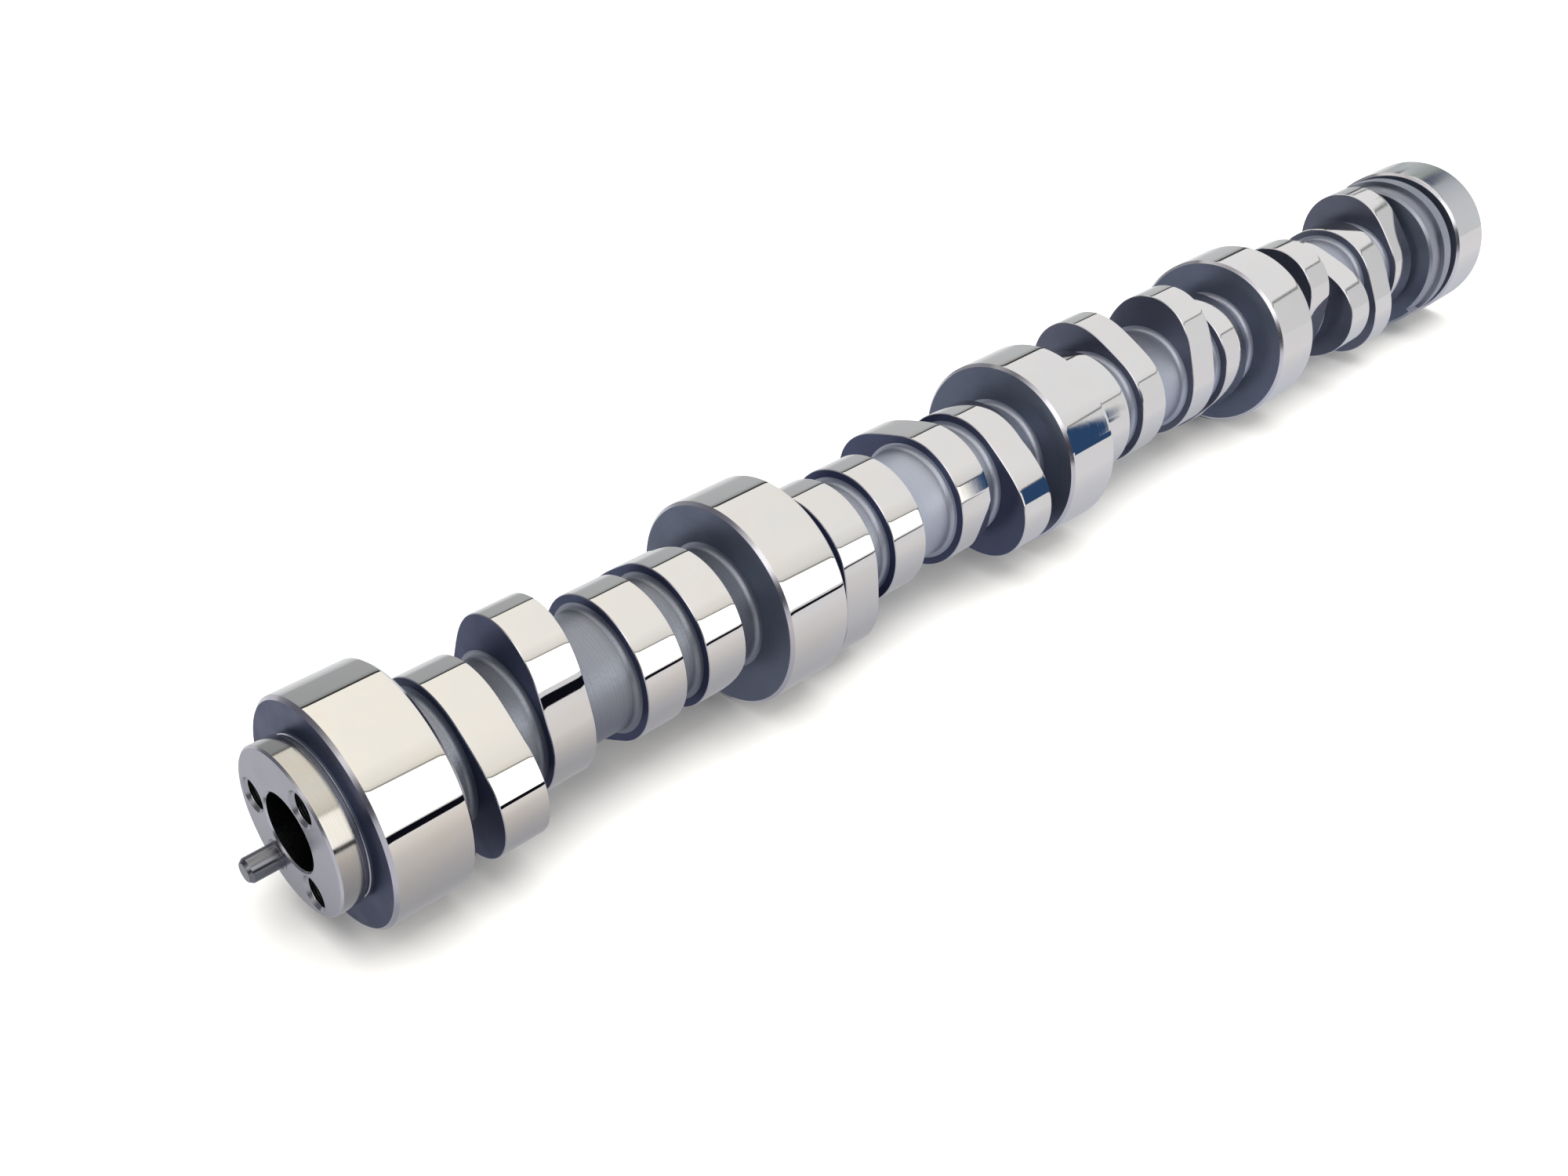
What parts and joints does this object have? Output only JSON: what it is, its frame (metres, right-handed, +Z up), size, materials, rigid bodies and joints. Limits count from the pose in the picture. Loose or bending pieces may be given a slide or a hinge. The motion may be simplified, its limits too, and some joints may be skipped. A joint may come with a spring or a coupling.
{
  "type": "camshaft",
  "caption": "Steel camshaft with roller lobes between round journals, a sensor ring at the rear and a drilled nose with a dowel for the timing gear.",
  "frame": {"origin": "centre of journal 1, on the axis", "axes": "+X along the camshaft's axis from the nose to the rear, +Z up as in the picture"},
  "size_m": [0.4948, 0.055, 0.055],
  "materials": {
    "ground_steel": "polished",
    "pin_steel": "satin"
  },
  "bodies": {
    "root": {"camshaft": "ground_steel", "dowel_pin": "pin_steel"}
  },
  "joints": []
}
